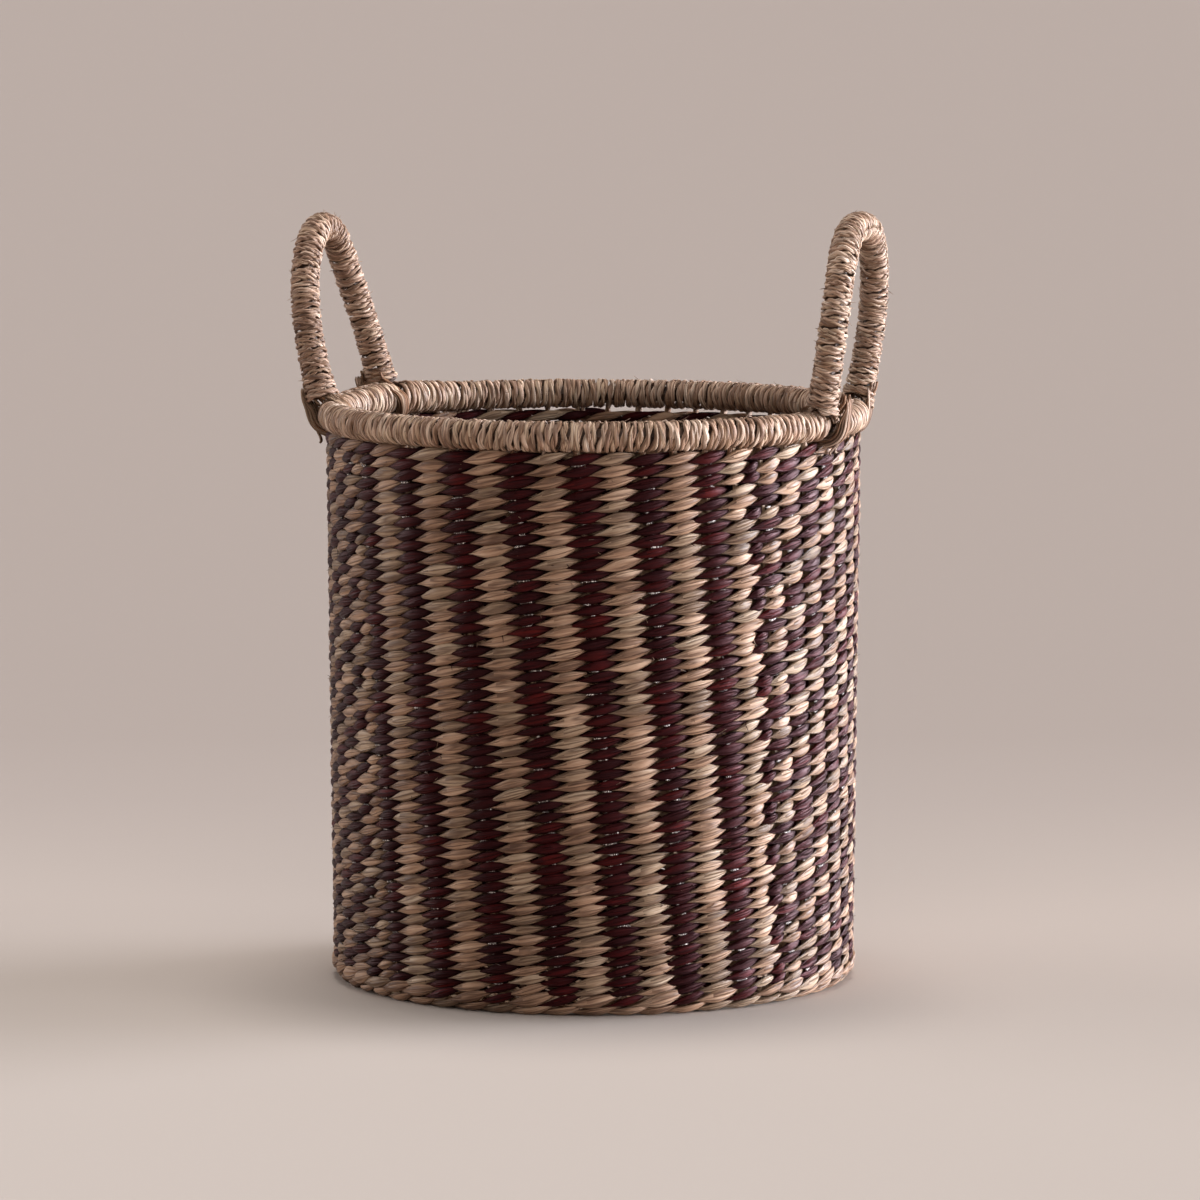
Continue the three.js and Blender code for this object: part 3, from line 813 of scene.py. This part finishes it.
# %% Rim wrap
RIM_TURNS = 232
RIM_REACH = 8.7 * MM
RIM_OVERLAP = 1.03
RIM_SLANT = 3.2 * MM
RIM_PART = 4.6 * MM
NOTCH_DEPTH, NOTCH_WIDTH = 2.6 * MM, 2.2 * MM
SWELL_HEIGHT, SWELL_WIDTH = 1.8 * MM, 50 * MM
STRAP_SLIDES = {"right_front": 12 * MM, "right_back": 0.0, "left_back": 14 * MM, "left_front": 0.0}
FEET_TURNS = [middle + end * (3 * PITCH - STRAP_SLIDES[foot] / RIM_RING)
              for middle, end, foot in ((PITCH / 2, -1, "right_front"), (PITCH / 2, 1, "right_back"),
                                        (math.pi - PITCH / 2, -1, "left_back"),
                                        (math.pi - PITCH / 2, 1, "left_front"))]
x, sideways, outward = twist(twine_turn, RIM_TURNS, half_width=1.6 * MM, half_gap=1.0 * MM,
                             depth=0.55 * MM, turning=2.2)
around_rim = np.repeat(np.arange(RIM_TURNS), 2)[:, None] * 2 * math.pi / RIM_TURNS
section = -math.pi / 2 + math.pi * RIM_OVERLAP * x
swing = around_rim + (sideways + RIM_SLANT * x) / RIM_RING
from_foot = RIM_RING * np.min([np.abs((around_rim - foot + math.pi) % (2 * math.pi) - math.pi)
                               for foot in FEET_TURNS], 0)
reach = RIM_REACH + outward - NOTCH_DEPTH * np.exp(-((from_foot - RIM_PART) / NOTCH_WIDTH) ** 2)
from_left_back = RIM_RING * ((around_rim - FEET_TURNS[2] + math.pi) % (2 * math.pi) - math.pi)
swell = SWELL_HEIGHT * np.exp(-(from_left_back / SWELL_WIDTH) ** 2)
reach = reach + swell
radius = RIM_RING + reach * np.cos(section)
level = RIM_HEIGHT + swell + reach * np.sin(section)
rim_places = round_the_basket(radius, swing, level)[from_foot[:, 0] > RIM_PART]
# painted light: the rim twine is lifted lighter for the light its front and top miss
lay("rim_twine", twine_turn, rim_places, "basket", twine, ["rim_wrap"], length=3.0, painted_light_lift=0.3)

# %% [markdown]
# Under the rim every stake is tied to it, and the tie hides the end of the stake. Between the ties a narrow
# slot stays open, which shows at the back.

# %% Ties under the rim
def tie_outline(x):
    width = 2.1 * (1 - 0.3 * (1 - x * x))
    return width * MM, 2.6 * MM, 0.0, 0.0


tie = model_strand("tie", tie_outline, sides=6, rings=6)
x, y, z = (tie.points[None, :, i] for i in range(3))
turn = (FRONT_TURN + (np.arange(STAKES) + 0.06 * chance.normal(size=STAKES)) * PITCH)[:, None]
size = 0.85 + 0.3 * chance.rand(STAKES, 1)
low, high = LAST_COURSE - 1 * MM, RIM_HEIGHT - 6 * MM
radius = RIM_RING + y
swing = turn + (z * size + 0.8 * MM * chance.normal(size=(STAKES, 1)) * x) / RIM_RING
level = (low + high) / 2 + (high - low) / 2 * x
lay("rim_ties", tie, round_the_basket(radius, swing, level), "basket", tan_grass, ["rim_wrap"])

# %% [markdown]
# ## The handles
# Each handle is a bent rope, and its middle line repeats the solid model: a rounded arch whose feet stand on
# the rim. The two arches differ in tilt and width, as bent rope does, so one class draws both from a few
# sizes. It also turns places about the hinge, which the wrap needs.

# %% Middle line of a handle
HANDLES = {
    "left": {"side": -1, "tilt": 19.5, "shoulder": 42.73, "height": 125, "crown_lean": 13.9, "power": 2.35,
             "back_step": (6.2, 7), "gaps": (7, 4.5)},
    "right": {"side": 1, "tilt": 9.2, "shoulder": 71.80, "height": 125.5, "crown_lean": 8.1, "power": 2.75,
              "back_step": (-2, 0), "gaps": (0, 0)},
}
HALF_SPAN = 3 * PITCH
LEG_START = 4 * MM
LEG_OUTSET = 5 * MM
FOOT_CLEAR = 4.5 * MM
LINE_POINTS = 801
UP = np.array([0, 0, 1.0])


class Arch:
    """The middle line of a handle. side is -1 on the left, tilt is in degrees, power squares the shoulders,
    back_step moves the back foot outwards and aside, and gaps shorten the wrap at the back and the front."""

    def __init__(self, side, tilt, shoulder, height, crown_lean, power, back_step, gaps):
        heading = PITCH / 2 if side > 0 else math.pi - PITCH / 2
        self.outward = np.array([math.cos(heading), math.sin(heading), 0])
        self.along = np.array([-math.sin(heading), math.cos(heading), 0])
        self.hinge = self.outward * RIM_RING * math.cos(HALF_SPAN) + RIM_HEIGHT * UP
        half_chord = RIM_RING * math.sin(HALF_SPAN)
        height, shoulder, crown_lean = height * MM, shoulder * MM, crown_lean * MM
        limit = math.acos((LEG_START / height) ** (power / 2))
        angle = np.linspace(-limit, limit, LINE_POINTS)
        rise = height * np.cos(angle) ** (2 / power)
        spread = np.sign(angle) * shoulder * np.abs(np.sin(angle)) ** (2 / power)
        share = rise / height
        splay = share + half_chord / shoulder * (1 - share)
        slope = math.radians(tilt)
        self.clear = [FOOT_CLEAR + gaps[0 if end == side else 1] * MM for end in (-1, 1)]
        out = LEG_OUTSET + rise * math.sin(slope) - crown_lean * share ** 3
        back = (1 - share) ** 3 * (spread * side > 0)
        out = out + back_step[0] * MM * back
        spread = spread * splay - side * back_step[1] * MM * back
        self.points = (self.hinge + out[:, None] * self.outward + spread[:, None] * self.along
                       + (rise * math.cos(slope))[:, None] * UP)
        steps = np.linalg.norm(np.diff(self.points, axis=0), axis=1)
        self.lengths = np.concatenate([[0], np.cumsum(steps)])
        self.length = self.lengths[-1]
        tangents = np.gradient(self.points, self.lengths, axis=0)
        self.tangents = tangents / np.linalg.norm(tangents, axis=1, keepdims=True)

    def at(self, distance):
        """Point, tangent and two directions square to it, at distances along the line."""
        pick = [np.interp(distance, self.lengths, column) for column in self.points.T]
        lead = np.stack([np.interp(distance, self.lengths, column) for column in self.tangents.T], -1)
        lead /= np.linalg.norm(lead, axis=-1, keepdims=True)
        across = self.outward - lead * (lead @ self.outward)[..., None]
        across /= np.linalg.norm(across, axis=-1, keepdims=True)
        return np.stack(pick, -1), lead, across, np.cross(lead, across)

    def swung(self, places, angle):
        """Places turned outwards about the hinge line, by an angle in radians."""
        arm = places - self.hinge
        turned = arm * math.cos(angle) + np.cross(self.along, arm) * math.sin(angle)
        return self.hinge + turned + (arm @ self.along)[..., None] * self.along * (1 - math.cos(angle))


# %% The lines of both handles
arches = {name: Arch(**sizes) for name, sizes in HANDLES.items()}
for name, arch in arches.items():
    print(name, "handle is", round(arch.length / MM), "mm long along its middle line")

# %% [markdown]
# The same twine is wound round the rope. The turns are set square to the middle line and slant a little. A
# foot is pushed off the rim at rest and at both ends of the swing, which gives it a saddle that clears the
# rim however the handle stands.

# %% Handle wraps
HANDLE_REACH = 8.25 * MM
HANDLE_OVERLAP = 1.04
HANDLE_SLANT = 2.6 * MM
FOOT_SWELL, FOOT_TAPER = 2.0 * MM, 9 * MM
HANDLE_TURN_PITCH = 3.45 * MM
RIM_CLEAR = 10.5 * MM
SWING_OUT = math.radians(55)
SWING_IN = math.radians(-75)


def off_the_rim(places):
    """Pushes points away from the rim's middle line, so that a foot sits on the rim like a saddle."""
    ring = np.hypot(places[..., 0], places[..., 1])
    across, up = ring - RIM_RING, places[..., 2] - RIM_HEIGHT
    away = np.hypot(across, up)
    push = np.maximum(RIM_CLEAR / away, 1.0)
    moved = (RIM_RING + across * push) / ring
    return np.stack([places[..., 0] * moved, places[..., 1] * moved, RIM_HEIGHT + up * push], -1)


for name, arch in arches.items():
    turns = int((arch.length - sum(arch.clear)) / HANDLE_TURN_PITCH)
    start = np.repeat(np.linspace(arch.clear[0], arch.length - arch.clear[1], turns), 2)[:, None]
    x, sideways, outward = twist(twine_turn, turns, half_width=1.25 * MM, half_gap=0.95 * MM,
                                 depth=0.6 * MM, turning=3.6)
    distance = np.clip(start + sideways + HANDLE_SLANT * x, 0, arch.length)
    point, lead, across, square = arch.at(distance)
    section = math.pi + math.pi * HANDLE_OVERLAP * x
    from_end = np.minimum(distance - arch.clear[0], arch.length - arch.clear[1] - distance).clip(0)
    reach = HANDLE_REACH + outward + FOOT_SWELL * np.exp(-from_end / FOOT_TAPER)
    places = (point + (reach * np.cos(section))[..., None] * across
              + (reach * np.sin(section))[..., None] * square)
    for swing in (SWING_OUT, SWING_IN, 0.0):
        places = arch.swung(off_the_rim(arch.swung(places, swing)), -swing)
    # painted light: the right handle's twine is lighter, because its front leg lies in the shade of its back
    # leg
    lay(f"{name}_handle_twine", twine_turn, places, f"{name}_handle", twine,
        [f"{name}_handle_wrap"], length=3.0, painted_light_lift=0.32 if name == "right" else 0.0)

# %% [markdown]
# ## The straps
# A bunch of blades ties each foot of a handle to the rim. It starts inside the end of the wrap, swings out
# and down round the rim, hangs a little under it, and comes up again along its inner side. Its blades lie in
# three layers. A few more lie over the rim, a short bunch fills the neck between the wrap and the rim, and at
# the front feet two loose ends hang down. On the left the blades are brown, on the right they are tan. A
# strap is left where it is built and is attached to neither body.

# %% The blade of a strap
def strap_blade(x):
    away = abs(x)
    taper = min(1.0, 3.5 * (1 - away) + 0.15)
    return 1.9 * taper * MM, 0.8 * MM, 0.0, 0.0


blade_turn = model_strand("strap blade", strap_blade, sides=6, rings=33)

# %% Bend a blade along a line
LINE_STEPS = 73
SMOOTHINGS = 12


def smooth_line(stops):
    """A rounded line through the stops, as outward and upward offsets from the hinge line."""
    stops = np.array(stops, float) * MM
    fine = np.linspace(0, len(stops) - 1, LINE_STEPS)
    line = np.stack([np.interp(fine, np.arange(len(stops)), column) for column in stops.T], -1)
    for _ in range(SMOOTHINGS):
        line[1:-1] = (line[:-2] + 2 * line[1:-1] + line[2:]) / 4
    return line


def lay_blade(line, aside, foot, arch):
    """A blade that follows a line at a foot, and aside gives how far it strays along the rim."""
    steps = np.concatenate([[0], np.cumsum(np.linalg.norm(np.diff(line, axis=0), axis=1))])
    x, y, z = (blade_turn.points[:, n] for n in range(3))
    at = (x + 1) / 2 * steps[-1]
    out, up = (np.interp(at, steps, column) for column in line.T)
    slope = [np.interp(at, steps, np.gradient(column, steps)) for column in line.T]
    size = np.hypot(*slope)
    out, up = out + y * slope[1] / size, up - y * slope[0] / size
    return (foot + out[:, None] * arch.outward + (z + aside(x))[:, None] * arch.along
            + up[:, None] * UP)


# %% Straps
STRAP_BLADES = 15
STRAP_LAYERS = 3
STRAP_SPREAD = 2.6 * MM
STRAP_SWAY = 1.0 * MM
STRAP_LEAN = 0.5
SLIDE_OUT = 0.3
STRAP_BEND = (2 * MM, 18 * MM)
STRAP_START = ((8.5, 17), (10.5, 10))
STRAP_FINISH = ((-7, 12),)
STRAP_LOOP = ((16.5, 4), (15.8, -3), (12.8, -9.5), (7, -13.2), (0, -14.2), (-7, -12.8), (-11.6, -7), (-12, 0),
              (-10.8, 6))
STRAP_TAIL = ((12.5, -6), (10.5, -12), (8, -15), (6.5, -17.5), (7.5, -19))
STRAP_OVER = ((-9.2, 1), (-7.4, 5.6), (-3.6, 8.6), (0, 9.4), (3.6, 8.6), (7.4, 5.6), (9.2, 1))
STRAP_DRIFTS = (-3, -1, 1, 3)
TAIL_DRIFTS = (3.5, -1.5)
NECK = np.linspace(-6.4, 9.5, 15)
SADDLE = 10.2
CLOSE_STRAP = 0.8
for name, arch in arches.items():
    leg = math.tan(math.radians(HANDLES[name]["tilt"]))
    start, finish = (tuple((LEG_OUTSET / MM + out + leg * up, up) for out, up in stops)
                     for stops in (STRAP_START, STRAP_FINISH))
    for end, word in ((-1, "back"), (1, "front")) if name == "left" else ((1, "back"), (-1, "front")):
        slide = STRAP_SLIDES[f"{name}_{word}"]
        foot = arch.hinge + end * (RIM_RING * math.sin(HALF_SPAN) - slide) * arch.along
        foot = foot + SLIDE_OUT * slide * arch.outward
        blades = []
        for i in range(STRAP_BLADES):
            layer = 1 - 0.12 * (i % STRAP_LAYERS) + 0.02 * chance.normal()
            spread = (i // STRAP_LAYERS - (STRAP_BLADES / STRAP_LAYERS - 1) / 2) * STRAP_SPREAD
            sway = chance.normal(size=3)
            line = smooth_line(start + tuple((out * layer, up * layer) for out, up in STRAP_LOOP) + finish)
            if (name, word) == ("right", "back"):
                line[:, 0] *= np.where(line[:, 0] > 0, CLOSE_STRAP, 1.0)
            blades.append(lay_blade(line, lambda x: spread * (0.85 - 0.25 * np.cos(math.pi * x))
                                    + STRAP_SWAY * sway[0] * np.sin(math.pi * x + sway[1])
                                    - end * STRAP_LEAN * slide * np.abs(x), foot, arch))
        for drift in STRAP_DRIFTS:
            blades.append(lay_blade(smooth_line(STRAP_OVER), lambda x: drift * MM + 0 * x, foot, arch))
        for out in NECK:
            drift = 6 * (chance.rand(2) - 0.5)
            top = LEG_OUTSET / MM + out
            low = math.sqrt(SADDLE ** 2 - out ** 2)
            line = smooth_line(((top + leg * 20, 20), (top + leg * 15, 15), (out, low)))
            blades.append(lay_blade(line, lambda x: (drift[0] + drift[1] * x) * MM, foot, arch))
        if word == "front":
            for drift in TAIL_DRIFTS:
                blades.append(lay_blade(smooth_line(STRAP_TAIL),
                                        lambda x: drift * MM * (x + 1) ** 2 * -end, foot, arch))
        bend = ("basket", f"{name}_handle", *(tuple(arch.hinge + height * UP) for height in STRAP_BEND))
        # painted light: the left front strap is lighter, since it lies in shade on the left
        lay(f"{name}_{word}_strap", blade_turn, np.array(blades), bend,
            strap_grass if name == "left" else tan_grass, [f"{name}_{word}_lashing"], length=3.0,
            painted_light_lift=0.4 if (name, word) == ("left", "front") else 0.0)

# %% [markdown]
# ## Loose fibres
# Dry grass frays. Short fibres stand out of the rim, the handles and the wall, and they break up the
# outline. They are real strands, because a bump in a material never shows at the edge of a shape. A fibre
# starts on the surface, runs along it and lifts off.

# %% One loose fibre
def thin_fibre(x):
    taper = 1.0 - 0.6 * max(x, 0)
    return 0.26 * taper * MM, 0.2 * taper * MM, 0.0, 0.0


fibre_strand = model_strand("loose fibre", thin_fibre, sides=4, rings=6)

# %% Fibres that leave a surface
def fibres(starts, outward, along, length, lift):
    """Bent fibres that leave a surface at the starts: they run along it and lift off."""
    count = len(starts)
    x, y, z = (fibre_strand.points[None, :, i, None] for i in range(3))
    reach = length * (0.6 + 0.8 * chance.rand(count, 1, 1))
    raised = lift * (0.4 + 1.2 * chance.rand(count, 1, 1))
    side = np.cross(outward, along)
    turned = chance.normal(size=(count, 1, 1)) * 0.5
    run = (x + 1) / 2
    heading = along[:, None] * np.cos(turned) + side[:, None] * np.sin(turned)
    return (starts[:, None] + heading * reach * run + outward[:, None] * (raised * run ** 1.6 + y)
            + np.cross(outward, heading.reshape(-1, 3))[:, None] * z)


# %% Loose fibres
WALL_FIBRES = 420
RIM_FIBRES = 160
HANDLE_FIBRES = 110
FIBRE_MARGIN = 12 * MM
WALL_SURFACE, RIM_SURFACE, HANDLE_SURFACE = 3.2 * MM, 9.3 * MM, 9.0 * MM
for word, material in (("natural", natural_grass), ("dyed", dyed_grass)):
    turn = chance.rand(WALL_FIBRES) * 2 * math.pi
    height = FIRST_COURSE + chance.rand(WALL_FIBRES) * (LAST_COURSE - FIRST_COURSE)
    outward = round_the_basket(1, turn, 0)
    along = np.stack([-np.sin(turn), np.cos(turn), 0.3 * chance.normal(size=WALL_FIBRES)], -1)
    starts = round_the_basket(wall_ring(height) + WALL_SURFACE, turn, height)
    lay(f"{word}_loose_fibres", fibre_strand,
        fibres(starts, outward, along, length=6 * MM, lift=2.2 * MM), "basket", material,
        ["wall_weave"])
turn = chance.rand(RIM_FIBRES) * 2 * math.pi
section = chance.rand(RIM_FIBRES) * 2 * math.pi
outward = round_the_basket(np.cos(section), turn, np.sin(section))
along = np.stack([-np.sin(turn), np.cos(turn), 0 * turn], -1)
middle = round_the_basket(RIM_RING, turn, RIM_HEIGHT)
lay("rim_loose_fibres", fibre_strand,
    fibres(middle + RIM_SURFACE * outward, outward, along, length=6 * MM, lift=2 * MM), "basket",
    twine, ["rim_wrap"])
for name, arch in arches.items():
    distance = np.linspace(FIBRE_MARGIN, arch.length - FIBRE_MARGIN, HANDLE_FIBRES)
    point, lead, across, square = arch.at(distance)
    section = (chance.rand(HANDLE_FIBRES) * 2 * math.pi)[:, None]
    outward = across * np.cos(section) + square * np.sin(section)
    round_leg = np.cross(lead, outward)
    lay(f"{name}_handle_loose_fibres", fibre_strand,
        fibres(point + HANDLE_SURFACE * outward, outward, round_leg, length=4.5 * MM, lift=1.8 * MM),
        f"{name}_handle", twine, [f"{name}_handle_wrap"])

# %% [markdown]
# ## The pieces of the solid model that stay
# The reed stakes and the rope cores have the right shape already, so they stay as they are. They show as
# small pale glints between the stitches and under the rim, and only need a fibrous finish. The short spots
# of stake that were set between the dyed stitches get a ridged one, mostly dark with a few bright dots along
# the ridges: painted shade and painted glints.

# %% Reed and rope
def reed_finish(name, dark, light, scale):
    sheet = Sheet(name)
    grain = sheet.noise(sheet.stretch(sheet.place(), (1, 1, 0.08)), scale, 3.0, 0.6)
    return sheet.finish(Base_Color=sheet.ramp(grain, [(0.3, dark), (0.7, light)]),
                        Roughness=0.5 + grain * 0.3, Normal=sheet.bump(0.6, 0.3 * MM, grain))


def painted_glint_finish(name, dark, light):
    sheet = Sheet(name)
    ridges = sheet.noise(sheet.stretch(sheet.fibre(), (14, 1.5, 1)), 1.0, 1.0, 0.5)
    return sheet.finish(Base_Color=sheet.ramp(ridges, [(0.5, dark), (0.66, light)]),
                        Roughness=0.35 + ridges * 0.2, Normal=sheet.bump(1.0, 0.6 * MM, ridges))


# painted shade and painted glints: the ridged spots are mostly dark with bright dots along the ridges
spot_painted_glints = painted_glint_finish("ridged reed with painted glints", shade_of(52, 32, 26), shade_of(240, 226, 216))
reed = reed_finish("pale reed", shade_of(120, 92, 70), shade_of(184, 152, 124), scale=900.0)
rope = reed_finish("rope core", shade_of(56, 37, 27), shade_of(104, 74, 55), scale=500.0)
lay("stakes_showing", reed_spot, spot_places, "basket", spot_painted_glints, [])
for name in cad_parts:
    node = bpy.data.objects[name]
    if "stake" in name or name.endswith("_core"):
        node.data.materials.clear()
        node.data.materials.append(reed if "stake" in name else rope)
print("the solid pieces that stay have", reed.name, "and", rope.name)

# %% [markdown]
# ## The floor
# The backdrop is one sheet that runs on from the floor, so no corner shows behind the basket. Its colour is a
# little lighter in front of the basket and darker far behind it, painted light in place of the lamps falling
# off. It goes by the distance behind the basket on the floor, so it stays where it is when the camera moves.

# %% Floor
FLOOR_HALF = 90.0
FLOOR_GAIN = 0.8
# painted light: the backdrop's colour runs from lighter in front of the basket to darker far behind it
PAINTED_BACKDROP_FALLOFF = ((0.0, (211, 197, 188)), (0.2, (211, 197, 188)), (0.41, (206, 191, 182)), (0.63, (194, 179, 171)),
            (0.80, (188, 173, 165)), (1.0, (187, 172, 164)))
bpy.ops.object.select_all(action='DESELECT')
bpy.ops.mesh.primitive_plane_add(size=2 * FLOOR_HALF, location=(0, 0, 0))
floor = bpy.context.object
floor.name = "floor"
bpy.ops.object.transform_apply(location=True, rotation=True, scale=True)
sheet = Sheet("seamless backdrop")
away = sheet.node("ShaderNodeVectorMath", {"operation": 'DOT_PRODUCT'},
                  {0: sheet.place(), 1: (-math.sin(CAMERA_TURN), math.cos(CAMERA_TURN), 0)}, output=1)
away = sheet.node("ShaderNodeMapRange", {}, {"Value": away, "From Min": -0.6, "From Max": 1.6})
color = sheet.ramp(away, [(stop, tuple(v * FLOOR_GAIN for v in shade_of(*rgb))) for stop, rgb in PAINTED_BACKDROP_FALLOFF])
floor.data.materials.append(sheet.finish(Base_Color=color, Roughness=1.0, Specular_IOR_Level=0.0))
print("the floor is", 2 * FLOOR_HALF, "m wide")

# %% [markdown]
# ## The light
# The room is dim. Most of the light comes low from the right, from lamps a little behind the basket and
# beside it, so the right side is bright and the front lies half in shade. Area lamps would light the floor
# unevenly, so wide suns are used, whose shade is just as soft.

# %% Light
WORLD_LEVEL = 0.12
world = bpy.data.worlds.new("studio")
scene.world = world
world.use_nodes = True
world.node_tree.nodes["Background"].inputs["Color"].default_value = (1.0, 0.99, 0.98, 1)
world.node_tree.nodes["Background"].inputs["Strength"].default_value = WORLD_LEVEL


def sun(name, azimuth, elevation, strength, width, color):
    """A soft sun: azimuth is counted from the camera's side towards the right."""
    heading = math.radians(azimuth) + CAMERA_TURN
    bpy.ops.object.select_all(action='DESELECT')
    bpy.ops.object.light_add(type='SUN', location=(2 * math.sin(heading), -2 * math.cos(heading), 2),
                             rotation=(math.pi / 2 - math.radians(elevation), 0, heading))
    lamp = bpy.context.object
    lamp.name = name
    lamp.data.energy = strength
    lamp.data.angle = math.radians(width)
    lamp.data.color = color


SUNS = (("key from the right", 111, 0, 11.6, 32, (0.92, 0.985, 1.09)),
        ("second key from the right", 94, 0, 7.6, 20, (0.91, 0.985, 1.1)),
        ("third key from the right", 74, 0, 3.7, 22, (0.94, 0.985, 1.06)),
        ("light from above and behind", 172, 79, 1.75, 26, (1.0, 0.985, 0.96)),
        ("soft light from the front", 4, 32, 0.78, 50, (1.0, 0.98, 0.95)),
        ("faint light from the left", -108, 14, 1.6, 50, (1.0, 0.98, 0.97)))
for values in SUNS:
    sun(*values)
scene.view_settings.view_transform = 'Standard'
print(len(SUNS), "suns light the basket")
